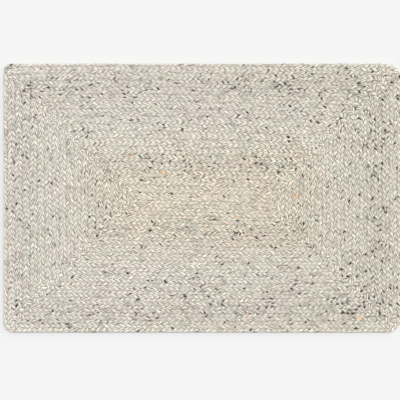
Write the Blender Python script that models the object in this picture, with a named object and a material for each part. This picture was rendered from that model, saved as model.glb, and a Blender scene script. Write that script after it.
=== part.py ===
"""Braided doormat, 0.894 x 0.608 x 0.0095 m, as one ribbed solid.

A mat of this kind is a single flat three-strand braid. The braid is laid down the
middle, turned back on itself and wound outwards, anticlockwise seen from above,
into a rectangle, each round laced to the one inside it. The solid follows that
braid: one row section is carried along the whole winding, so each round is a rib
with two crests and a groove on either side, and the rounds join at their grooves.

Units are metres, +Z is up. The origin is the middle of the underside, +X runs
along the mat's length and +Y across it, from front to back.
"""

import math

import bmesh
import bpy
from mathutils import Vector

# Driving dimensions
BRAID_WIDTH = 0.0169  # one row of braid, from groove to groove
ROUNDS = 18  # rows on each side of the seam in the middle
HALF_SEAM = 0.143  # half the length of the first two rows, which share the seam
THICKNESS = 0.0095

# Corner roundness on the first round, and on the finished mat, where the braid's
# tail ends in the back left corner. The corners stand in the order in which the
# braid meets them in each round, with the sides of X and Y that they lie on.
INNER_RADIUS = 0.0085
CORNER_STEPS = 4  # straight steps around a corner
CORNERS = (
    # name, side of X, side of Y, outer radius
    ("front_left", -1, -1, 0.022),
    ("front_right", 1, -1, 0.027),
    ("back_right", 1, 1, 0.030),
    ("back_left", -1, 1, 0.016),
)

# The section across one row. The feet between the underside's grooves are flat and
# lie in the plane z = 0.
ROW_SECTION = (
    # share of the way across, height of the top, height of the underside
    (0.00, 0.62 * THICKNESS, 0.0016),
    (0.08, 0.84 * THICKNESS, 0.0006),
    (0.25, THICKNESS, 0.0),
    (0.50, 0.92 * THICKNESS, 0.0),
    (0.75, THICKNESS, 0.0),
    (0.92, 0.84 * THICKNESS, 0.0006),
    (1.00, 0.62 * THICKNESS, 0.0016),
)
RIM_INSET = 0.0012  # how far the outermost row draws in above and below its waist
RIM_WAIST = 0.5 * THICKNESS  # the height at which it is widest

# Undyed yarn, a warm off-white with some grey, in linear colour
YARN_COLOUR = (0.60, 0.56, 0.48, 1.0)
YARN_ROUGHNESS = 0.92

WELD = 0.00002  # points nearer than this become one


def clear_scene():
    for old in list(bpy.data.objects):
        bpy.data.objects.remove(old, do_unlink=True)


def groove_corner(rows_inside, corner):
    """Points around one corner of the groove that has rows_inside rows within it.

    The left side of each groove lies one row further out than its other sides,
    which is the winding's step outwards in each round. The last round stops
    flush with the round before it, so the mat's outline is a plain rectangle.
    """
    name, side_x, side_y, outer_radius = CORNERS[corner]
    rows_x = rows_inside + 1 if name == "back_left" else rows_inside
    grown = (rows_inside - 1) / (ROUNDS - 1)
    radius = INNER_RADIUS + (outer_radius - INNER_RADIUS) * grown
    if rows_inside == 0:
        radius = 0.0
    middle_x = side_x * (HALF_SEAM + min(rows_x, ROUNDS) * BRAID_WIDTH - radius)
    middle_y = side_y * (rows_inside * BRAID_WIDTH - radius)
    points = []
    for step in range(CORNER_STEPS + 1):
        angle = math.pi + (corner + step / CORNER_STEPS) * math.pi / 2
        x = middle_x + radius * math.cos(angle)
        y = middle_y + radius * math.sin(angle)
        points.append(Vector((x, y)))
    return points


def winding():
    """The braid's two edges from its start to its tail, as pairs (inner, outer)."""
    seam_end = groove_corner(0, 3)[0]
    pairs = [(seam_end, outer) for outer in groove_corner(1, 0)]
    for rows in range(1, ROUNDS + 1):
        first_corner = 1 if rows == 1 else 0
        for corner in range(first_corner, len(CORNERS)):
            pairs += zip(groove_corner(rows - 1, corner), groove_corner(rows, corner))
    return pairs


def lay_braid(bm):
    """Bends a flat ribbon of faces onto the winding and welds each round to the next."""
    pairs = winding()
    last_pair = len(pairs) - 1
    last_column = len(ROW_SECTION) - 1
    bmesh.ops.create_grid(bm, x_segments=last_pair, y_segments=last_column, size=0.5)
    underside = bm.verts.layers.float.new("underside")
    for vert in bm.verts:
        pair = round((vert.co.x + 0.5) * last_pair)
        column = round((vert.co.y + 0.5) * last_column)
        if pair == 0 and column < last_column:
            column = 0  # the braid starts as a point and opens to its full width
        share, top, under = ROW_SECTION[column]
        inner, outer = pairs[pair]
        vert.co = (*inner.lerp(outer, share), top)
        vert[underside] = under
    bmesh.ops.remove_doubles(bm, verts=bm.verts, dist=WELD)


def outward(vert):
    """Unit direction in the mat's plane that leads away from it at a rim point."""
    total = Vector((0.0, 0.0))
    for edge in vert.link_edges:
        if edge.is_boundary:
            along = (edge.verts[1].co - edge.verts[0].co).to_2d()
            side = Vector((along.y, -along.x)).normalized()
            to_face = edge.link_faces[0].calc_center_median() - edge.verts[0].co
            if side.dot(to_face.to_2d()) > 0:
                side = -side
            total += side
    return total.normalized()


def close_underneath(bm):
    """Carries the top down to the feet and grooves of the underside, with a round rim."""
    underside = bm.verts.layers.float["underside"]
    rim_side = bm.verts.layers.float_vector.new("rim_side")
    for vert in bm.verts:
        if vert.is_boundary:
            vert[rim_side] = (*outward(vert), 0.0)
    grown = bmesh.ops.extrude_face_region(bm, geom=bm.faces[:])["geom"]
    for item in grown:
        if isinstance(item, bmesh.types.BMVert):
            item.co.z = item[underside]
    upright = []
    for edge in bm.edges:
        upper, lower = edge.verts
        if (upper.co - lower.co).to_2d().length < WELD:
            upright.append(edge)
    split = bmesh.ops.subdivide_edges(bm, edges=upright, cuts=1)["geom_inner"]
    waist = {item for item in split if isinstance(item, bmesh.types.BMVert)}
    for vert in bm.verts:
        if vert in waist:
            vert.co.z = RIM_WAIST
        else:
            vert.co -= vert[rim_side] * RIM_INSET
    bmesh.ops.recalc_face_normals(bm, faces=bm.faces)


def yarn_material():
    material = bpy.data.materials.new("braided_yarn")
    material.use_nodes = True
    shader = material.node_tree.nodes["Principled BSDF"]
    shader.inputs["Base Color"].default_value = YARN_COLOUR
    shader.inputs["Roughness"].default_value = YARN_ROUGHNESS
    shader.inputs["Metallic"].default_value = 0.0
    material.diffuse_color = YARN_COLOUR
    return material


def braided_mat(collection):
    bm = bmesh.new()
    lay_braid(bm)
    close_underneath(bm)
    mesh = bpy.data.meshes.new("braided_mat")
    bm.to_mesh(mesh)
    bm.free()
    mesh.shade_smooth()
    mesh.set_sharp_from_angle(angle=math.radians(50))
    mesh.materials.append(yarn_material())
    mat = bpy.data.objects.new("braided_mat", mesh)
    collection.objects.link(mat)
    return mat


def main():
    clear_scene()
    collection = bpy.data.collections.new("braided_doormat")
    bpy.context.scene.collection.children.link(collection)
    braided_mat(collection)


main()
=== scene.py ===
# %% [markdown]
# # Braided doormat
#
# A braided doormat is one long flat braid of three thick strands. It is laid down the
# middle, turned back on itself and wound outwards, round by round, and each round is
# laced to the one inside it.
#
# It could be a flat plate with a bump pattern of braid on it. That is quick, but it looks
# flat from low down, and its rim is a straight line. So the three strands are made as
# real strands here, which cross over and under each other all the way from the start to
# the tail.
#
# The frame comes first: it holds the solid that everything else has to fit.

import bmesh
import bpy
import numpy as np
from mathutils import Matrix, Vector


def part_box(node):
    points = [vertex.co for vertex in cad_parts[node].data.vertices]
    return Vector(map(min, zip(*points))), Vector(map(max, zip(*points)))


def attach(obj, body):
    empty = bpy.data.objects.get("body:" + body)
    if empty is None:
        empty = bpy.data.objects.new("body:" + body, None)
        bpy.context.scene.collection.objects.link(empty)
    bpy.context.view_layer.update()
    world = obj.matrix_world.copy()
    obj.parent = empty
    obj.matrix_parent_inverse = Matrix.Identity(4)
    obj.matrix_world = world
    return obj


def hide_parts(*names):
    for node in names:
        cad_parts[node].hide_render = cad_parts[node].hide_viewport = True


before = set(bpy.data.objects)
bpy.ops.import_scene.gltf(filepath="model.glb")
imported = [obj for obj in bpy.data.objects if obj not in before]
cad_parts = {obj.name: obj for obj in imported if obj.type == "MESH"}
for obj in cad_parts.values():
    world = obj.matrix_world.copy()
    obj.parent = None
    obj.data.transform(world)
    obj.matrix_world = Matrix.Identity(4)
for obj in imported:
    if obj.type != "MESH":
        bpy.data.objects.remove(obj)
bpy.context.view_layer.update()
mat_low, mat_high = (np.array(corner, float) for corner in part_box("braided_mat"))
mat_size = mat_high - mat_low
print("mat", np.round(mat_size * 1000, 1), "mm")

# %% [markdown]
# ## Sizes
#
# There are 18 rows of braid on each side of the seam in the middle, so the width of one
# row comes from the mat's width, and the length of the seam is what is left of the mat's
# length. A strand of the braid comes back to the same edge about every 37 mm. All sizes
# are in metres.

# %% Sizes of the winding and of the braid
ROUNDS = 18
BRAID_WIDTH = mat_size[1] / (2 * ROUNDS)
HALF_SEAM = mat_size[0] / 2 - ROUNDS * BRAID_WIDTH
THICKNESS = mat_size[2]
STRANDS = 3
BRAID_CYCLE = 0.0367  # along the braid, from an edge to the other and back

INNER_RADIUS = 0.0085  # roundness of the corners next to the seam
CORNERS = (
    # side of X, side of Y, roundness on the finished mat
    (-1, -1, 0.022),
    (1, -1, 0.027),
    (1, 1, 0.030),
    (-1, 1, 0.016),
)
STEP_OUT_CORNER = 3  # the corner where the winding moves out by one row
CORNER_STEPS = 24
print(f"row {BRAID_WIDTH * 1000:.2f} mm wide, seam {2 * HALF_SEAM * 1000:.0f} mm")

# %% [markdown]
# ## The winding
#
# The groove between two rounds is a rectangle with rounded corners that steps outwards
# by one row in each round. The braid lies between one groove and the next. To carry a
# braid along it, the strip between the grooves is cut by crosswise lines: square to the
# braid on the straights, and spread like a fan around the corners. Each line has an
# inner and an outer end, and its distance along the middle of the braid.
#
# A single curve with a bevel could also be wound up like this. A strip between two
# grooves is chosen because its neighbours share its edges, so the rows always meet, also
# where one corner of the mat is rounder than another.


# %% Crosswise lines around one corner
def rounded_corner(rows_inside, corner):
    """Centre and radius of a groove's corner; the radius grows evenly from round to round."""
    side_x, side_y, outer_radius = CORNERS[corner]
    rows_x = min(rows_inside + (corner == STEP_OUT_CORNER), ROUNDS)
    radius = INNER_RADIUS + (outer_radius - INNER_RADIUS) * (rows_inside - 1) / (ROUNDS - 1)
    if rows_inside == 0:
        radius = 0.0
    centre = np.array([
        side_x * (HALF_SEAM + rows_x * BRAID_WIDTH - radius),
        side_y * (rows_inside * BRAID_WIDTH - radius),
    ])
    return centre, radius


def corner_fan(rows_inside, corner):
    """Inner and outer ends of the lines around a corner.

    The inner ends go round the inner arc by equal angles. The outer ends share out the
    outer way evenly: a short straight, the outer arc and another short straight.
    """
    share = np.linspace(0.0, 1.0, CORNER_STEPS + 1)[:, None]
    start = np.pi + corner * np.pi / 2
    ahead = np.array([-np.sin(start), np.cos(start)])  # the way the braid comes in
    turned = np.array([-ahead[1], ahead[0]])  # the way it leaves
    inner_centre, inner_radius = rounded_corner(rows_inside, corner)
    outer_centre, outer_radius = rounded_corner(rows_inside + 1, corner)
    angle = start + share * np.pi / 2
    inner = inner_centre + inner_radius * np.hstack([np.cos(angle), np.sin(angle)])
    before = (outer_centre - inner_centre) @ ahead
    after = -(outer_centre - inner_centre) @ turned
    arc = outer_radius * np.pi / 2
    way = share * (before + arc + after)
    on_arc = np.clip((way - before) / arc, 0, 1)
    angle = start + on_arc * np.pi / 2
    outer = outer_centre + outer_radius * np.hstack([np.cos(angle), np.sin(angle)])
    outer = outer - np.clip(before - way, 0, None) * ahead
    outer = outer + np.clip(way - before - arc, 0, None) * turned
    return inner, outer


# %% All the crosswise lines, from the seam to the tail
EASED = 0.7  # share across where the braid keeps its length; extra is eased in round a corner
LINES_IN_ROUND = len(CORNERS) * (CORNER_STEPS + 1)

fans = [corner_fan(rows, corner) for rows in range(ROUNDS) for corner in range(len(CORNERS))]
inner_ends = np.vstack([inner for inner, outer in fans])
outer_ends = np.vstack([outer for inner, outer in fans])
middle = inner_ends + (outer_ends - inner_ends) * EASED
steps = np.linalg.norm(np.diff(middle, axis=0), axis=1)
distance = np.concatenate([[0.0], np.cumsum(steps)])
BRAID_LENGTH = distance[-1]
ROUND_ENDS = distance[LINES_IN_ROUND - 1 :: LINES_IN_ROUND]
print(f"braid {BRAID_LENGTH:.2f} m long, {BRAID_LENGTH / BRAID_CYCLE:.0f} turns of each strand")

# %% [markdown]
# ## Laid by hand
#
# Nobody winds a braid perfectly evenly. The rows of this mat bow: in the left half they
# lie up to half a row nearer the back. Only the outermost row evens that out, because
# the mat is pressed to a straight-sided shape when it is finished. On top of the bows
# come slow waves, made by adding a few sines with seeded random phases. Such waves drive
# everything that wanders: where a row lies, how tightly a strand is drawn, and how thick
# it is. Each row could be shifted by itself, but one smooth shift of every place on the
# mat keeps neighbouring rows side by side.

# %% Bows and slow waves
BOWS = (
    # how far towards the back, its middle (x, y), how far it spreads (x, y)
    (0.0090, -0.15, 0.16, 0.30, 0.15),
    (0.0050, -0.16, -0.06, 0.16, 0.08),
    (0.0040, -0.30, -0.28, 0.17, 0.25),
    (-0.0030, 0.14, -0.01, 0.26, 0.20),
    (0.0040, 0.28, -0.21, 0.11, 0.08),
)


def bow(x, y):
    """How far a row lies towards the back.

    A sum of bells, each of them shift * exp(-(dx / spread_x)^2 - (dy / spread_y)^2).
    """
    bells = [
        shift * np.exp(-(((x - mid_x) / spread_x) ** 2) - ((y - mid_y) / spread_y) ** 2)
        for shift, mid_x, mid_y, spread_x, spread_y in BOWS
    ]
    return sum(bells)


def wander(distance_along, wavelengths, seed):
    """Sum of n sines with random phases, about -1 to 1.

    Each is sin(2 pi distance / wavelength + phase), and the sum is divided by root n.
    """
    phases = np.random.default_rng(seed).uniform(0, 2 * np.pi, len(wavelengths))
    waves = [
        np.sin(2 * np.pi * distance_along / wavelength + phase)
        for wavelength, phase in zip(wavelengths, phases)
    ]
    return sum(waves) / len(wavelengths) ** 0.5


across = np.linspace(mat_low[1], mat_high[1], 100)
print(f"rows bow by up to {1000 * bow(BOWS[0][1], across).max():.1f} mm")

# %% [markdown]
# ### The edge
#
# The mat's edge is straight, so whatever bulges over it is pressed back. Cutting it off
# would leave a flat wall. A tanh bends instead: it lets the first part of a bulge stand
# and squeezes the rest into a thin layer. The front edge of this mat is drawn in by 2 mm.

# %% Press the edge and shift the rows
ROUNDER = 0.003  # how much rounder than the solid's the corners of the pressed edge are
PRESS_FROM = 0.0008  # inside the edge, where the pressing starts
PRESS_ROOM = 0.0011  # the layer that all the rest is squeezed into
PRESS_SOFTLY = 0.0015  # how gently it sets in
EDGE_IN = 0.0022  # the front rows are drawn in by this much, least at the seam
PULL = -0.004  # the rows on the left lie further out
PULL_MIDDLE = -0.22
PULL_SPREAD = 0.12
WAVE_X = 0.0007  # how far the slow waves shift the rows to the side
WAVE_Y = 0.0005  # and to the back or front


def press_edge(x, y):
    """Press what bulges over the edge: kept + room * tanh((far - kept) / softly).

    How far out a point lies is its distance from the rounded corner's centre, or on a
    straight side its distance from the line through two such centres.
    """
    half_x, half_y = mat_size[:2] / 2
    radius = ROUNDER + sum(
        size * (x * side_x > 0) * (y * side_y > 0) for side_x, side_y, size in CORNERS
    )
    out_x = np.clip(np.abs(x) - half_x + radius, 0, None)
    out_y = np.clip(np.abs(y) - half_y + radius, 0, None)
    far = np.maximum(np.hypot(out_x, out_y), 1e-9)
    kept = np.minimum(far, radius - PRESS_FROM)
    back = 1 - (kept + PRESS_ROOM * np.tanh((far - kept) / PRESS_SOFTLY)) / far
    return x - np.sign(x) * back * out_x, y - np.sign(y) * back * out_y


def lay_by_hand(x, y):
    """Shift points by the bows and by waves of about a millimetre, and by nothing at the edge."""
    to_edge = np.minimum(mat_size[0] / 2 - np.abs(x), mat_size[1] / 2 - np.abs(y))
    inside = np.clip(to_edge / BRAID_WIDTH, 0, 1)
    pull = PULL * np.exp(-(((x - PULL_MIDDLE) / PULL_SPREAD) ** 2))
    wave_x = WAVE_X * wander(y + 0.4 * x, (0.31, 0.17, 0.093), 11)
    wave_y = WAVE_Y * wander(x - 0.3 * y, (0.83, 0.37, 0.19), 12)
    x, y = x + inside * (pull + wave_x), y + inside * (bow(x, y) + wave_y)
    x, y = press_edge(x, y)
    return x, np.where(y < 0, y * (1 - 2 * EDGE_IN / mat_size[1]), y)


# %% Find a place on the winding
def on_winding(along, share):
    """World x and y at a distance along the braid and a share of the way across it.

    Inner end + share * (outer end - inner end) of the crosswise line at that distance, and
    then the shift of the rows.
    """
    ends = (inner_ends[:, 0], inner_ends[:, 1], outer_ends[:, 0], outer_ends[:, 1])
    inner_x, inner_y, outer_x, outer_y = (np.interp(along, distance, end) for end in ends)
    x = inner_x + (outer_x - inner_x) * share
    y = inner_y + (outer_y - inner_y) * share
    return lay_by_hand(x, y)


tail_x, tail_y = on_winding(BRAID_LENGTH, 0.5)
print(f"the braid ends at x {tail_x:.3f}, y {tail_y:.3f}")

# %% [markdown]
# ## The path of a strand
#
# In a flat braid of three, each strand swings from one edge to the other and back. It
# lies on top as it leaves an edge and dives under as it reaches the other one, so it
# goes up and down twice in the time of one swing: sideways it follows a cosine, and
# upwards a sine of twice the angle. The three strands follow the same path, a third of
# a turn apart. A strand is pulled flat where it lies on top, and it stands on its edge
# where it turns round at the side. Formulas suit this better than points set by hand:
# they hold for any number of turns, and the strands keep their distance.

# %% The path and the section of a strand
SWING = 0.0058  # sideways from the middle of the braid
SWING_SHAPE = ((1, 1.0), (3, 0.10), (5, 0.02))  # times the angle, and share of that cosine
DIVE = 0.0021  # up and down from the middle of its thickness
SLANT = -0.0006  # below 0 the runs on top are longer than the ones underneath
SECTION = (
    # where it is pinched in the middle, more at the side, more on a run
    (0.0038, -0.0006, 0.00125),  # half width
    (0.0022, 0.0017, -0.00045),  # half height
)


def strand_path(turn, strand):
    """Distance along the braid, sideways place, height and angle of the middle of a strand.

    Along: turn / (2 pi) * cycle + slant * cos(2 angle). Sideways: swing * cos(angle), with
    a little of 3 and 5 times the angle. Height: half the thickness + dive * sin(2 angle).
    """
    angle = turn + 2 * np.pi * strand / STRANDS
    along = BRAID_CYCLE * turn / (2 * np.pi) + SLANT * np.cos(2 * angle)
    sideways = SWING * sum(share * np.cos(times * angle) for times, share in SWING_SHAPE)
    height = THICKNESS / 2 + DIVE * np.sin(2 * angle)
    return along, sideways, height, angle


def strand_section(angle):
    """Half width and half height of the section.

    Pinched + at the side * cos(angle)^2 + on a run * sin(2 angle)^2: the strand is on its
    edge at the sides, broad and flat on the runs above and below, and pinched between the
    other two in the middle.
    """
    side = np.cos(angle) ** 2
    run = np.sin(2 * angle) ** 2
    return [pinched + at_side * side + on_run * run for pinched, at_side, on_run in SECTION]


print("strand", *(f"{2000 * size:.1f}" for size in strand_section(np.pi / 4)), "mm on a run")

# %% [markdown]
# ## Strands as surfaces
#
# A strand is a tube: a ring of points, an oval squared off a little, is carried along its
# path. One parameter runs along the strand and the other around the ring. A curve with a
# bevel gives a tube as well, but only of one shape, and a strand gets broad, narrow and
# flat in turn. The ring is set out in the flat strip first, square to the strand, and
# then the strip is bent onto the winding, so that the braid closes up on the inside of a
# corner and opens on the outside, as a real one does.
#
# Each ring also gets two numbers for its shade: how much the other strands cross it
# there, and how deep it lies in a valley of the braid, down the middle or, less deep,
# between two rows.

# %% The surface of one strand
STEPS = 16  # rings of points in one turn
AROUND = 10  # points in one ring
BOXY = 0.72  # 1 makes the section an oval, less squares it off
LOWEST = 0.0001  # nothing goes below this height
STRAND_APART = 100.0  # between the strands on the waves, so that each wanders by itself
WANDERS = {
    # how much, over which lengths of strand, and the seed of the phases
    "turn": (0.30, (0.143, 0.067, 0.041), 20),  # in radians
    "width": (0.10, (0.21, 0.083, 0.031), 21),  # as a share
    "thickness": (0.07, (0.17, 0.071, 0.027), 22),  # as a share
    "height": (0.00035, (0.13, 0.057, 0.023), 23),
    "along": (0.0012, (0.61, 0.23, 0.11), 24),
}
MIDDLE_VALLEY = 0.42  # how wide the valley down the middle is, as a share of the swing
ROW_VALLEY = 0.35  # how wide the one between two rows is
ROW_VALLEY_DEPTH = 0.33  # how deep it is against the one in the middle


def strays(what, distance_along):
    """How far the width, the height or another measure of a strand strays at each ring."""
    much, wavelengths, seed = WANDERS[what]
    return much * wander(distance_along, wavelengths, seed)


def strand_grid(strand, first_turn, last_turn):
    """Points (rings, around, xyz) of one strand, and by ring its distance, crossing and valley.

    A point of the ring lies sign(cos) |cos|^boxy half widths out, square to the strand, and
    sign(sin) |sin|^boxy half heights up.
    """
    turn = np.arange(first_turn * STEPS, last_turn * STEPS + 1) / STEPS * 2 * np.pi
    own = turn / (2 * np.pi) * BRAID_CYCLE + STRAND_APART * strand
    along, sideways, height, angle = strand_path(turn + strays("turn", own), strand)
    half_width, half_height = strand_section(angle)
    half_width = half_width * (1 + strays("width", own))
    half_height = half_height * (1 + strays("thickness", own))
    height = height + strays("height", own)
    along = along + strays("along", along)
    way = np.gradient(np.stack([along, sideways]), axis=1)
    way = way / np.linalg.norm(way, axis=0)

    ring = np.linspace(0, 2 * np.pi, AROUND, endpoint=False)
    out = half_width[:, None] * np.sign(np.cos(ring)) * np.abs(np.cos(ring)) ** BOXY
    up = half_height[:, None] * np.sign(np.sin(ring)) * np.abs(np.sin(ring)) ** BOXY
    place_along = along[:, None] - way[1][:, None] * out
    place_across = sideways[:, None] + way[0][:, None] * out
    x, y = on_winding(place_along, 0.5 + place_across / BRAID_WIDTH)
    z = np.maximum(height[:, None] + up, LOWEST)

    crossing = np.sin(2 * angle) ** 2
    valley = np.exp(-((np.cos(angle) / MIDDLE_VALLEY) ** 2))
    valley = valley + ROW_VALLEY_DEPTH * np.exp(-((np.sin(angle) / ROW_VALLEY) ** 2))
    return np.stack([x, y, z], axis=2), along, crossing, valley


print("one turn of a strand has", STEPS * AROUND, "points")

# %% [markdown]
# ## Batches of yarn
#
# Thirty metres of braid take many cones of yarn, and no two batches are quite alike: the
# rounds in the middle are lighter and warmer, and some rounds further out are greyer.
# The rims and the tail get painted light and shade on top. The left and front rims are
# painted lighter, as light on their outer flanks, the right rim is darker, and the tail is
# painted darker, as shade, where it is tucked in.

# %% Lightness and warmth of the yarn
BATCHES = np.array([
    # round, lightness, warmth
    (0.0, 1.05, 1.0),
    (3.0, 1.02, 0.8),
    (4.5, 0.94, 0.7),
    (5.5, 0.98, 0.7),
    (7.0, 1.02, 0.4),
    (9.0, 1.03, 0.1),
    (11.0, 0.99, 0.0),
    (13.0, 0.99, 0.1),
    (14.7, 0.92, 0.1),
    (16.0, 0.94, 0.2),
    (17.0, 1.00, 0.1),
    (18.0, 1.03, 0.0),
])
DARKER_RIGHT = 0.025  # at the right edge, and as much lighter at the left one
WARMER_RIGHT = 0.25  # at the right edge, and as much cooler at the left one
# painted light: the left and front rims lighter, as if light reached their outer flanks
PAINTED_LIGHT_LEFT_FRONT = (0.22, 0.003)  # how much lighter, and how far in from the left and front rims
RIGHT_RIM_DARKER = (0.09, 0.005)  # how much darker, and how far in from the right rim
# painted shade: the tail darker where it is tucked in
TUCKED_TAIL_SHADE = (0.38, 0.034)  # how much darker, and how far back from the end of the tail


def fades(change, reach, far):
    """A change that fades with distance: change * exp(-(far / reach)^2)."""
    return change * np.exp(-((far / reach) ** 2))


def yarn_batch(along, points):
    """Lightness and warmth at each point: by round, by side and at the rims.

    The left and front rims get painted light, and the tail gets painted shade.
    """
    rounds = np.interp(along, np.concatenate([[0.0], ROUND_ENDS]), np.arange(ROUNDS + 1))
    lightness = np.interp(rounds, BATCHES[:, 0], BATCHES[:, 1])
    warmth = np.interp(rounds, BATCHES[:, 0], BATCHES[:, 2])
    to_right = points[:, 0] / (mat_size[0] / 2)
    to_left_or_front = (mat_size[:2] / 2 + points[:, :2]).min(axis=1)
    # painted light on the left and front rims; below, painted shade at the tail and a darker
    # right rim
    lightness = lightness - DARKER_RIGHT * to_right + fades(*PAINTED_LIGHT_LEFT_FRONT, to_left_or_front)
    lightness = lightness - fades(*TUCKED_TAIL_SHADE, BRAID_LENGTH - along)
    lightness = lightness - fades(*RIGHT_RIM_DARKER, mat_size[0] / 2 - points[:, 0])
    return lightness, warmth + WARMER_RIGHT * to_right


print("lightness of the batches from", BATCHES[:, 1].min(), "to", BATCHES[:, 1].max())

# %% [markdown]
# ## Strands as meshes
#
# A grid of points becomes a mesh by joining each point to the next one along and the
# next one around. Every strand also carries a map of itself pulled straight, as a UV map
# of its own: metres along the yarn, and once round from 0 to 1. The yarn's colours and
# its twist follow that map, so they run with the strand wherever it goes. Five numbers
# at each point tell the material the rest: which strand it is on, its crossing, its
# valley, and the lightness and warmth of the yarn. At the rim no neighbour shades the
# outer side, so the crossing fades out there.

# %% Faces of a tube, and what the yarn's material reads
OPEN_RIM = 0.0022  # how far in from the rim the outer side is open to the light
YARN_VALUES = ("strand", "crossing", "valley", "lightness", "warmth")


def tube_faces(rings, around):
    """Four corners of each face of a tube, and the ring and step of each corner.

    A corner's point is ring * around + step, and the last step comes round to the first.
    """
    ring, step = np.meshgrid(np.arange(rings - 1), np.arange(around), indexing="ij")
    ring, step = ring.ravel(), step.ravel()
    corner_ring = np.stack([ring, ring + 1, ring + 1, ring], axis=1)
    corner_step = np.stack([step, step, step + 1, step + 1], axis=1)
    return corner_ring * around + corner_step % around, corner_ring, corner_step


def yarn_values(strand, grid, along, crossing, valley):
    """The five numbers of YARN_VALUES at each point of a strand."""
    around = grid.shape[1]
    points = grid.reshape(-1, 3)
    lightness, warmth = yarn_batch(np.repeat(along, around), points)
    to_rim = (mat_size[:2] / 2 - np.abs(points[:, :2])).min(axis=1)
    crossing = np.repeat(crossing, around) * (1 - fades(1.0, OPEN_RIM, to_rim))
    numbers = [np.full(len(points), strand), crossing, np.repeat(valley, around)]
    return np.stack([*numbers, lightness, warmth])


# %% Join the three strands of one length of braid
def join_tubes(tubes):
    """Points, corners and sizes of the faces, map and values of several closed tubes.

    A face joins the points at ring and ring + 1, step and step + 1. The two ends are
    closed by one face each. The map of a corner is (metres along, step / around).
    """
    points, corners, sizes, maps, values = [], [], [], [], []
    first = 0
    for strand, (grid, along, crossing, valley) in enumerate(tubes):
        rings, around = grid.shape[:2]
        faces, corner_ring, corner_step = tube_faces(rings, around)
        ends = np.stack([np.arange(around), (np.arange(around) + (rings - 1) * around)[::-1]])
        end_u = np.repeat([along[0], along[-1]], around)
        points.append(grid.reshape(-1, 3))
        corners += [faces.ravel() + first, ends.ravel() + first]
        sizes += [np.full(len(faces), 4), np.full(2, around)]
        maps.append(np.stack([along[corner_ring], corner_step / around], axis=2).reshape(-1, 2))
        maps.append(np.stack([end_u, np.zeros(2 * around)], axis=1))
        values.append(yarn_values(strand, grid, along, crossing, valley))
        first += rings * around
    faces = np.concatenate(corners), np.concatenate(sizes)
    return np.vstack(points), *faces, np.vstack(maps), np.hstack(values)


# %% Make a length of braid an object
def braid_object(name, tubes):
    """One object of several tubes, with its map pulled straight and the yarn's values."""
    points, corners, sizes, pulled_straight, values = join_tubes(tubes)
    mesh = bpy.data.meshes.new(name)
    mesh.vertices.add(len(points))
    mesh.loops.add(len(corners))
    mesh.polygons.add(len(sizes))
    mesh.vertices.foreach_set("co", points.ravel())
    mesh.loops.foreach_set("vertex_index", corners)
    mesh.polygons.foreach_set("loop_start", np.cumsum(sizes) - sizes)
    mesh.update(calc_edges=True)
    mesh.uv_layers.new(name="pulled_straight").data.foreach_set("uv", pulled_straight.ravel())
    for attribute, numbers in zip(YARN_VALUES, values):
        mesh.attributes.new(attribute, "FLOAT", "POINT").data.foreach_set("value", numbers)
    mesh.polygons.foreach_set("use_smooth", np.ones(len(sizes), dtype=bool))
    mesh.validate()
    made = bpy.data.objects.new(name, mesh)
    bpy.context.scene.collection.objects.link(made)
    return made


# %% [markdown]
# ### Five lengths
#
# The braid is over thirty metres long, so it is split into five equal lengths that meet
# ring to ring. That keeps each mesh at a size that is easy to handle.

# %% Braid the mat
LENGTHS = 5

breaks = np.linspace(0, int(BRAID_LENGTH / BRAID_CYCLE), LENGTHS + 1).astype(int).tolist()
braids = []
for number, (first, last) in enumerate(zip(breaks[:-1], breaks[1:])):
    tubes = [strand_grid(strand, first, last) for strand in range(STRANDS)]
    braid = braid_object(f"braid_length_{number + 1}", tubes)
    braids.append(braid)
    triangles = sum(len(face.vertices) - 2 for face in braid.data.polygons)
    print(braid.name, "turns", first, "to", last, "-", triangles, "triangles")

# %% [markdown]
# ## The body of yarn between the strands
#
# Three strands that cross leave small hollows where they meet. On the real mat more
# yarn shows at the bottom of each hollow, never the floor. A thin ribbed sheet just
# below the strands stands for that inner yarn. It is a set of closed loops, each a
# rectangle with rounded corners, from the seam in the middle out to the edge; its top
# rises under the two runs of each row and sinks in the grooves between the rows. More
# strands inside the braid would be truer, but nobody could tell them from the sheet, and
# it needs far fewer faces.

# %% Loops of the inner yarn
CORE_STEPS = 7  # points around one corner
CORE_PARTS = 4  # between two of them, so that the sides have points as well
CORE_LOOPS = 4  # in one row
CORE_INSET = 0.0032  # from the edge of the mat
core_rows = np.linspace(0, ROUNDS - CORE_INSET / BRAID_WIDTH, ROUNDS * CORE_LOOPS + 1)


def core_loop(rows_out):
    """A rounded rectangle, rows_out rows out from the seam, as (points, xy).

    Each corner is centre + radius * (cos, sin) over a quarter turn, and the way from each
    of these points to the next is shared out evenly.
    """
    grown = rows_out / ROUNDS
    loop = []
    for corner, (side_x, side_y, outer_radius) in enumerate(CORNERS):
        radius = min(rows_out * BRAID_WIDTH, INNER_RADIUS + (outer_radius - INNER_RADIUS) * grown)
        angle = np.pi + (corner + np.linspace(0, 1, CORE_STEPS)) * np.pi / 2
        x = side_x * (HALF_SEAM + rows_out * BRAID_WIDTH - radius) + radius * np.cos(angle)
        y = side_y * (rows_out * BRAID_WIDTH - radius) + radius * np.sin(angle)
        loop.append(np.stack([x, y], axis=1))
    points = np.vstack(loop)
    following = np.roll(points, -1, axis=0)
    between = np.linspace(0, 1, CORE_PARTS + 1)[:-1, None, None]
    return (points + (following - points) * between).transpose(1, 0, 2).reshape(-1, 2)


loops = np.array([core_loop(rows) for rows in core_rows])
core_x, core_y = lay_by_hand(loops[:, :, 0], loops[:, :, 1])
print(len(loops), "loops of", loops.shape[1], "points")

# %% The sheet of inner yarn
CORE_TOP = 0.0050  # height of the top in the grooves
CORE_RIB = 0.0006  # how much higher it is under a run
CORE_UNDER = 0.0034  # height of the underside
RIM_FROM = 0.985  # share of the way out where the sheet gets thinner
RIM_THINNER = 0.0010
SAME_PLACE = 0.00002  # points closer than this are one

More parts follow.
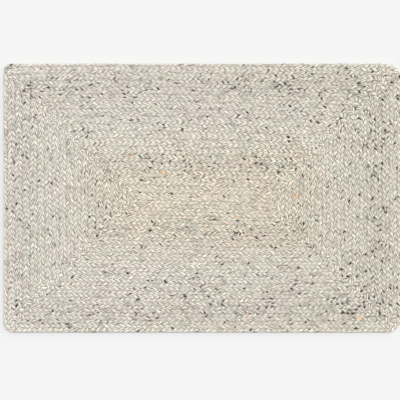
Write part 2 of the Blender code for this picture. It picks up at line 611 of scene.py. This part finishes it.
rib = 0.5 - 0.5 * np.cos(2 * np.pi * core_rows * 2)
core_top = CORE_TOP + CORE_RIB * rib - RIM_THINNER * (core_rows / ROUNDS > RIM_FROM)
top_grid = np.stack([core_x, core_y, np.broadcast_to(core_top[:, None], core_x.shape)], axis=2)
under_grid = np.stack([core_x, core_y, np.full(core_x.shape, CORE_UNDER)], axis=2)
core_grid = np.concatenate([under_grid, top_grid[::-1]])
core_faces, _, _ = tube_faces(*core_grid.shape[:2])
core_mesh = bpy.data.meshes.new("inner_yarn")
core_mesh.from_pydata(core_grid.reshape(-1, 3).tolist(), [], core_faces.tolist())
sewing = bmesh.new()
sewing.from_mesh(core_mesh)
bmesh.ops.remove_doubles(sewing, verts=sewing.verts, dist=SAME_PLACE)
bmesh.ops.recalc_face_normals(sewing, faces=sewing.faces)
sewing.to_mesh(core_mesh)
sewing.free()
inner_yarn = bpy.data.objects.new("inner_yarn", core_mesh)
bpy.context.scene.collection.objects.link(inner_yarn)
print("inner yarn", len(core_mesh.polygons), "faces")

# %% [markdown]
# ## The yarn
#
# The yarn is a thick heathered one, spun from light wool-like fibre in a few close
# shades: warm white, oatmeal, a greenish grey and a pinkish beige. Each strand is made
# of five such yarns side by side, and fine lines show between them. Short dark tufts
# are caught in the spinning, and a few coloured ones.
#
# A picture of yarn would repeat along thirty metres, so all of it is worked out in the
# map of the strand pulled straight, where it never repeats. First come a helper for
# colours and one for nodes.


# %% Helpers for materials
def from_hex(code):
    """sRGB hex to linear light: ((c + 0.055) / 1.055) to the power 2.4, or c / 12.92 if dark."""
    shade = np.array([int(code[at : at + 2], 16) for at in (1, 3, 5)]) / 255
    linear = np.where(shade > 0.04045, ((shade + 0.055) / 1.055) ** 2.4, shade / 12.92)
    return (*linear.tolist(), 1.0)


def add_node(tree, kind, inputs=(), output=0, stops=(), **settings):
    """Add a shader node with its settings and links, and return one of its outputs.

    The inputs are in the node's own order, or a dictionary by name or number. Each one is
    a value, or another node's output to link. A colour ramp also gets its stops, from low
    to high. With output=None the node itself is returned.
    """
    made = tree.nodes.new("ShaderNode" + kind)
    for name, setting in settings.items():
        setattr(made, name, setting)
    for number, (position, colour) in enumerate(stops):
        ramp = made.color_ramp.elements
        stop = ramp[number] if number < 2 else ramp.new(position)
        stop.position = position
        stop.color = colour
    sockets = inputs if isinstance(inputs, dict) else dict(enumerate(inputs))
    for socket, value in sockets.items():
        if isinstance(value, bpy.types.NodeSocket):
            tree.links.new(value, made.inputs[socket])
        else:
            made.inputs[socket].default_value = value
    return made if output is None else made.outputs[output]


FACTOR, FIRST, SECOND, MIXED = 0, 6, 7, 2  # where a Mix node has its sockets for colours
print("warm white in linear light", np.round(from_hex("#f7f0ea"), 3))

# %% [markdown]
# ### Five yarns in a strand
#
# The way round the strand is cut into five, and whatever is left of each fifth says how
# far across its own yarn a point lies. The yarns don't run straight. They drift round
# the strand by up to a yarn and a half within a centimetre or so, as loose plies do.

# %% Heathered yarn: where each point lies on its own yarn
YARNS = 5.0  # side by side in one strand
DRIFT_LENGTH = 0.013  # of strand, in which the yarns drift to one side
DRIFT = 1.6  # in yarns

yarn = bpy.data.materials.new("heathered_spun_yarn")
yarn.use_nodes = True
tree = yarn.node_tree
tree.nodes.clear()
straight = add_node(tree, "UVMap", uv_map="pulled_straight")
along, round_strand = add_node(tree, "SeparateXYZ", [straight], output=None).outputs[:2]
strand, crossing, valley, lightness, warmth = (
    add_node(tree, "Attribute", output="Fac", attribute_name=name) for name in YARN_VALUES
)
drift_place = add_node(tree, "CombineXYZ", [
    add_node(tree, "Math", [along, DRIFT_LENGTH], operation="DIVIDE"),
    add_node(tree, "Math", [strand, 5.7], operation="MULTIPLY"),  # strands drift apart
])
drift = add_node(tree, "TexNoise", {"Vector": drift_place, "Scale": 1.0, "Detail": 1.0})
drift = add_node(tree, "Math", [drift, DRIFT], operation="MULTIPLY")
twisted = add_node(tree, "Math", [round_strand, YARNS, drift], operation="MULTIPLY_ADD")
counted = add_node(tree, "Math", [twisted], operation="FLOOR")
counted = add_node(tree, "Math", [counted, YARNS], operation="FLOORED_MODULO")
own_yarn = add_node(tree, "Math", [strand, YARNS, counted], operation="MULTIPLY_ADD")
across_yarn = add_node(tree, "Math", [twisted], operation="FRACT")  # 0.5 on the crest
crest = add_node(tree, "Math", [across_yarn, np.pi], operation="MULTIPLY")
crest = add_node(tree, "Math", [crest], operation="SINE")  # 0 in the grooves, 1 on the crest
print(int(YARNS * STRANDS), "yarns in the braid")

# %% [markdown]
# ### Shades
#
# Two patterns mix the shades. The slow one changes every 9 cm or so and is nearly the
# same in the three strands, because they come off the same cones. The fine one is the
# heather itself: streaks of lighter and darker fibre, 16 mm long and a third of a yarn
# wide. Real fibre is much finer, but it wouldn't show.

# %% Shades of the yarn
CONE_LENGTH = 0.09  # of braid, in which the shade changes
HEATHER_LENGTH = 0.016  # of a streak


def drawn_out_fibre(length, width, seed):
    """Noise drawn out along each yarn: length is in metres, width is a share of the yarn."""
    place = add_node(tree, "CombineXYZ", [
        add_node(tree, "Math", [along, length], operation="DIVIDE"),
        add_node(tree, "Math", [across_yarn, width], operation="DIVIDE"),
        add_node(tree, "Math", [own_yarn, 7.3, seed], operation="MULTIPLY_ADD"),
    ])
    settings = {"Vector": place, "Scale": 1.0, "Detail": 2.0, "Roughness": 0.6}
    return add_node(tree, "TexNoise", settings)


cone_place = add_node(tree, "CombineXYZ", [
    add_node(tree, "Math", [along, CONE_LENGTH], operation="DIVIDE"),
    add_node(tree, "Math", [strand, 0.45], operation="MULTIPLY"),  # little apart
])
cone = add_node(tree, "TexNoise", {"Vector": cone_place, "Scale": 1.0, "Detail": 2.0})
cone = add_node(tree, "MapRange", [cone, 0.36, 0.64], interpolation_type="SMOOTHSTEP")
greenish, pinkish, cream = from_hex("#f3f3eb"), from_hex("#f7f0ea"), from_hex("#fffcf5")
base = add_node(
    tree, "Mix", {FACTOR: cone, FIRST: greenish, SECOND: pinkish}, MIXED, data_type="RGBA",
)
warmer = add_node(
    tree, "Mix", {FACTOR: 1.0, FIRST: base, SECOND: cream}, MIXED,
    data_type="RGBA", blend_type="MULTIPLY",
)
base = add_node(
    tree, "Mix", {FACTOR: warmth, FIRST: base, SECOND: warmer}, MIXED, data_type="RGBA",
)
heather = add_node(tree, "ValToRGB", [drawn_out_fibre(HEATHER_LENGTH, 0.35, 0.0)], stops=[
    (0.32, from_hex("#7d786c")), (0.43, from_hex("#e7e3da")), (0.60, from_hex("#eeece8")),
])
base = add_node(
    tree, "Mix", {FACTOR: 1.0, FIRST: base, SECOND: heather}, MIXED,
    data_type="RGBA", blend_type="MULTIPLY",
)
print("shades of the yarn:", len(tree.nodes), "nodes so far")

# %% [markdown]
# ### Shade
#
# No two yarns or strands have quite the same tone, and a strand is darker in stretches
# of about 2 cm. More than that, little light gets between yarns that are packed this
# tightly, and that shade is what makes the braid readable. The lamps alone give too
# little of it, because smooth tubes let more light down between them than pressed and
# hairy yarn does. Each cause of shade is a number up to about 1, and they multiply: the
# groove between two yarns, the crease where two strands press together, and the valleys
# of the braid. A crease is a narrow band along the flank of a strand. It is darkest just
# above the strand's widest line and paler on that line itself, which only shows from low
# down at the rim. Last, a soft minimum keeps the lightest yarn from getting lighter than
# undyed wool.

# %% Tone of each yarn and strand
PATCH_LENGTH = 0.024  # of a darker stretch

own_tone = add_node(
    tree, "MapRange", [drawn_out_fibre(HEATHER_LENGTH, 9.0, 31.0), 0.3, 0.5, 0.87, 0.93],
    interpolation_type="SMOOTHSTEP",
)
strand_tone = add_node(tree, "Math", [strand, 2.2], operation="MULTIPLY")
strand_tone = add_node(tree, "Math", [strand_tone], operation="SINE")  # about 0, 0.8 and -1
strand_tone = add_node(tree, "Math", [strand_tone, 0.04, 0.97], operation="MULTIPLY_ADD")
patch_place = add_node(tree, "CombineXYZ", [
    add_node(tree, "Math", [along, PATCH_LENGTH], operation="DIVIDE"),
    add_node(tree, "Math", [strand, 3.1], operation="MULTIPLY"),  # each strand its own
    5.0,
])
patch = add_node(tree, "TexNoise", {"Vector": patch_place, "Scale": 1.0, "Detail": 2.0})
patch = add_node(
    tree, "MapRange", [patch, 0.32, 0.58, 0.80, 1.0], interpolation_type="SMOOTHSTEP",
)
print("with the tones:", len(tree.nodes), "nodes")

# %% Shade between the yarns and between the strands
CREASE = (
    # how near the strand's widest line, from 0 to 1, and the tone there
    (0.74, 1.0),
    (0.80, 0.01),
    (0.89, 0.01),
    (0.94, 0.30),
)
VALLEY_SHADE = -0.42  # how much a full valley takes off the tone
LIGHTEST = 0.80  # no tone gets above this
LIGHTEST_SOFTLY = 0.14  # how far below it the soft minimum sets in

groove = add_node(
    tree, "MapRange", [crest, 0.03, 0.5, 0.26, 1.0], interpolation_type="SMOOTHSTEP",
)
flank = add_node(tree, "Math", [round_strand, 2 * np.pi], operation="MULTIPLY")
flank = add_node(tree, "Math", [flank], operation="COSINE")
flank = add_node(tree, "Math", [flank], operation="ABSOLUTE")
crossed = add_node(
    tree, "MapRange", [crossing, 0.0, 0.5, 0.5, 1.0], interpolation_type="SMOOTHSTEP",
)
pressed = add_node(tree, "Math", [flank, crossed], operation="MULTIPLY")
crease = add_node(
    tree, "ValToRGB", [pressed],
    stops=[(position, (light, light, light, 1.0)) for position, light in CREASE],
)
crease = add_node(tree, "SeparateColor", [crease])
sheltered = add_node(tree, "Math", [valley, VALLEY_SHADE, 1.03], operation="MULTIPLY_ADD")

tone = lightness
for shade in (own_tone, strand_tone, patch, groove, crease, sheltered):
    tone = add_node(tree, "Math", [tone, shade], operation="MULTIPLY")
tone = add_node(tree, "Math", [tone, LIGHTEST, LIGHTEST_SOFTLY], operation="SMOOTH_MIN")
grey = add_node(tree, "CombineColor", [tone, tone, tone])
base = add_node(
    tree, "Mix", {FACTOR: 1.0, FIRST: base, SECOND: grey}, MIXED,
    data_type="RGBA", blend_type="MULTIPLY",
)
print("with the shade:", len(tree.nodes), "nodes")

# %% [markdown]
# ### Tufts
#
# Every yarn is cut into short cells along its length, and a random number decides
# whether the cell holds a tuft: most hold none, some a dark one, and a few a coloured
# one. The dark tufts come in clusters, as they do where a dark batch was fed in. There
# are more of them in the greyer rounds, and more of the coloured ones in the warm rounds.


# %% A tuft in some of the cells
def tufts(cell, length, width, share, seed):
    """0 to 1 inside an oval tuft in some of the cells along each yarn, and its random colour.

    cell and length are in metres, width is a share of the yarn, share is how many cells
    hold one: 1 inside (2 x / length)^2 + (2 y / width)^2 < 1 with a soft edge.
    """
    stagger = add_node(tree, "Math", [own_yarn, 0.377], operation="MULTIPLY")
    counted = add_node(tree, "Math", [along, cell], operation="DIVIDE")
    counted = add_node(tree, "Math", [counted, stagger], operation="ADD")
    number = add_node(tree, "Math", [counted], operation="FLOOR")
    key = add_node(tree, "CombineXYZ", [number, own_yarn, seed])
    chance = add_node(tree, "TexWhiteNoise", [key], output=None, noise_dimensions="3D")
    in_cell = add_node(tree, "Math", [counted], operation="FRACT")
    x = add_node(tree, "Math", [in_cell, 0.5], operation="SUBTRACT")
    x = add_node(tree, "Math", [x, 2 * cell / length], operation="MULTIPLY")
    y = add_node(tree, "Math", [across_yarn, 0.5], operation="SUBTRACT")
    y = add_node(tree, "Math", [y, 2 / width], operation="MULTIPLY")
    reach = add_node(tree, "Math", [
        add_node(tree, "Math", [x, x], operation="MULTIPLY"),
        add_node(tree, "Math", [y, y], operation="MULTIPLY"),
    ], operation="ADD")
    oval = add_node(
        tree, "MapRange", [reach, 0.75, 1.15, 1.0, 0.0], interpolation_type="SMOOTHSTEP",
    )
    chosen = add_node(tree, "Math", [chance.outputs[0], share], operation="LESS_THAN")
    return add_node(tree, "Math", [oval, chosen], operation="MULTIPLY"), chance.outputs[1]


# %% Dark tufts
TUFT_CELL = 0.013  # of yarn that may hold one tuft
DARK_LENGTH = 0.0082

on_mat = add_node(tree, "TexCoord", output="Object")
cluster = add_node(tree, "TexNoise", {"Vector": on_mat, "Scale": 17.0, "Detail": 1.0})
cluster = add_node(
    tree, "MapRange", [cluster, 0.38, 0.68, 0.065, 0.31], interpolation_type="SMOOTHSTEP",
)
greyer = add_node(tree, "MapRange", [lightness, 0.90, 1.03, 1.0, 0.12])
dark_share = add_node(tree, "Math", [cluster, greyer], operation="MULTIPLY")
dark, dark_colour = tufts(TUFT_CELL, DARK_LENGTH, 0.64, dark_share, 8.0)
how_dark = add_node(tree, "SeparateColor", [dark_colour])
dark_shade = add_node(
    tree, "Mix", {FACTOR: how_dark, FIRST: from_hex("#060302"), SECOND: from_hex("#2a1d12")},
    MIXED, data_type="RGBA",
)
base = add_node(
    tree, "Mix", {FACTOR: dark, FIRST: base, SECOND: dark_shade}, MIXED, data_type="RGBA",
)
print(f"dark tufts {DARK_LENGTH * 1000:.0f} mm long")

# %% Coloured tufts
COLOURED_LENGTH = 0.011
PALETTE = (
    # from which random number on, and the colour
    (0.0, "#d4a67e"),
    (0.42, "#dbbca4"),
    (0.60, "#bfbd9c"),
    (0.74, "#bfb8b8"),
    (0.86, "#b3bab5"),
)

coloured_share = add_node(tree, "Math", [warmth, 0.016, -0.003], operation="MULTIPLY_ADD")
coloured, which_colour = tufts(TUFT_CELL, COLOURED_LENGTH, 1.1, coloured_share, 11.0)
which_colour = add_node(tree, "SeparateColor", [which_colour], output=1)
palette = add_node(
    tree, "ValToRGB", [which_colour], output=None,
    stops=[(position, from_hex(code)) for position, code in PALETTE],
)
palette.color_ramp.interpolation = "CONSTANT"
base = add_node(
    tree, "Mix", {FACTOR: coloured, FIRST: base, SECOND: palette.outputs[0]}, MIXED,
    data_type="RGBA",
)
print(len(PALETTE), "colours of tuft")

# %% [markdown]
# ### Finish
#
# Spun wool is matt, with a trace of sheen from the fibre ends that stand up from it. A
# bump rounds each yarn and roughens it along its fibres.

# %% Finish the yarn
FIBRE_LENGTH = 0.006  # drawn coarser than it is, so that it shows
BUMP_DEPTH = 0.0009

fibres = drawn_out_fibre(FIBRE_LENGTH, 0.3, 57.0)
relief = add_node(tree, "Math", [fibres, 0.5, crest], operation="MULTIPLY_ADD")
bump = add_node(tree, "Bump", {"Height": relief, "Distance": BUMP_DEPTH, "Strength": 0.35})
body = add_node(tree, "BsdfPrincipled", {
    "Base Color": base,
    "Roughness": 0.9,
    "Specular IOR Level": 0.25,
    "Sheen Weight": 0.05,
    "Normal": bump,
})
add_node(tree, "OutputMaterial", {"Surface": body}, output=None)
for braid in braids:
    braid.data.materials.append(yarn)
print(yarn.name, len(tree.nodes), "nodes")

# %% [markdown]
# ### Inner yarn
#
# The yarn at the bottom of the hollows is the same heather, but hardly any light reaches
# it, so it is painted with that shade, as a dull oatmeal with the same short tufts. A plain
# noise of about 4 mm does for it.

# %% Heather in the hollows
FUZZ_SCALE = 260.0  # about 4 mm to a tuft
FUZZ_DEPTH = 0.0008

hollow = bpy.data.materials.new("heathered_yarn_in_the_hollows")
hollow.use_nodes = True
deep = hollow.node_tree
deep.nodes.clear()
on_mat = add_node(deep, "TexCoord", output="Object")
fuzz = add_node(deep, "TexNoise", {"Vector": on_mat, "Scale": FUZZ_SCALE, "Detail": 3.0})
# painted shade: the heather as dark as it looks where little light gets in
dull = add_node(
    deep, "Mix", {FACTOR: fuzz, FIRST: from_hex("#8d8778"), SECOND: from_hex("#d9d2c2")},
    MIXED, data_type="RGBA",
)
rough = add_node(deep, "Bump", {"Height": fuzz, "Distance": FUZZ_DEPTH})
matt = add_node(deep, "BsdfPrincipled", {"Base Color": dull, "Roughness": 0.95, "Normal": rough})
add_node(deep, "OutputMaterial", {"Surface": matt}, output=None)
inner_yarn.data.materials.append(hollow)
print(hollow.name, len(deep.nodes), "nodes")

# %% [markdown]
# ## Put the pieces on the frame
#
# Every piece rides on the mat's one body. The inner yarn is a sheet that lies flat, the
# size of the mat, and the lengths of braid lie on it.

# %% Ride and replace
for piece in [inner_yarn, *braids]:
    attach(piece, "root")
    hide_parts("braided_mat")
print(1 + len(braids), "pieces ride on the mat")

# %% [markdown]
# ## Floor, light and camera
#
# A floor of pale matt paper, which scatters light evenly and shows only the mat's soft
# shadow. Two broad panels of soft light stand at the back right: a strong one almost
# overhead, and a weaker one lower down that brings out the strands. Suns with a wide
# angle do for them: area lamps are soft too, but brighter on the part of the mat that is
# nearer. An even pale sky fills the rest. The camera looks straight down from high up,
# so that the mat's sides stay square.

# %% Floor
FLOOR_SIZE = 12

bpy.ops.mesh.primitive_plane_add(size=FLOOR_SIZE)
floor = bpy.context.object
floor.name = "studio_floor"
paper = bpy.data.materials.new("matt_paper")
paper.use_nodes = True
paper.node_tree.nodes["Principled BSDF"].inputs["Base Color"].default_value = from_hex("#bfbfbf")
paper.node_tree.nodes["Principled BSDF"].inputs["Roughness"].default_value = 1.0
floor.data.materials.append(paper)
print("floor", FLOOR_SIZE, "m wide")

# %% Light
SKY_STRENGTH = 0.20
LAMPS = (
    # name, energy, angle that it fills, tilt from straight above, turn
    ("overhead_panel", 4.09, 30, 8, 135),
    ("side_panel", 1.25, 60, 52, 135),
)

scene = bpy.context.scene
scene.view_settings.view_transform = "Standard"
sky = bpy.data.worlds.new("pale_sky")
scene.world = sky
sky.use_nodes = True
sky.node_tree.nodes["Background"].inputs[0].default_value = (1.0, 1.0, 1.0, 1.0)
sky.node_tree.nodes["Background"].inputs[1].default_value = SKY_STRENGTH
for name, energy, angle, tilt, turn in LAMPS:
    lamp = bpy.data.objects.new(name, bpy.data.lights.new(name, "SUN"))
    scene.collection.objects.link(lamp)
    lamp.data.energy = energy
    lamp.data.angle = np.radians(angle)
    lamp.rotation_euler = (np.radians(tilt), 0, np.radians(turn))
    print(name, "fills", angle, "degrees,", tilt, "from straight above")

# %% Camera
CAMERA_HEIGHT = 5.0
VIEW_CENTRE = (-0.0047, -0.0035)
VIEW_WIDTH = 0.9028  # of the floor
SENSOR = 36.0  # millimetres, as is the lens

camera = bpy.data.objects.new("camera", bpy.data.cameras.new("camera"))
scene.collection.objects.link(camera)
scene.camera = camera
camera.location = (*VIEW_CENTRE, CAMERA_HEIGHT)
camera.data.sensor_width = SENSOR
camera.data.lens = SENSOR * CAMERA_HEIGHT / VIEW_WIDTH
camera.data.clip_end = 10 * CAMERA_HEIGHT
print(f"lens {camera.data.lens:.0f} mm")
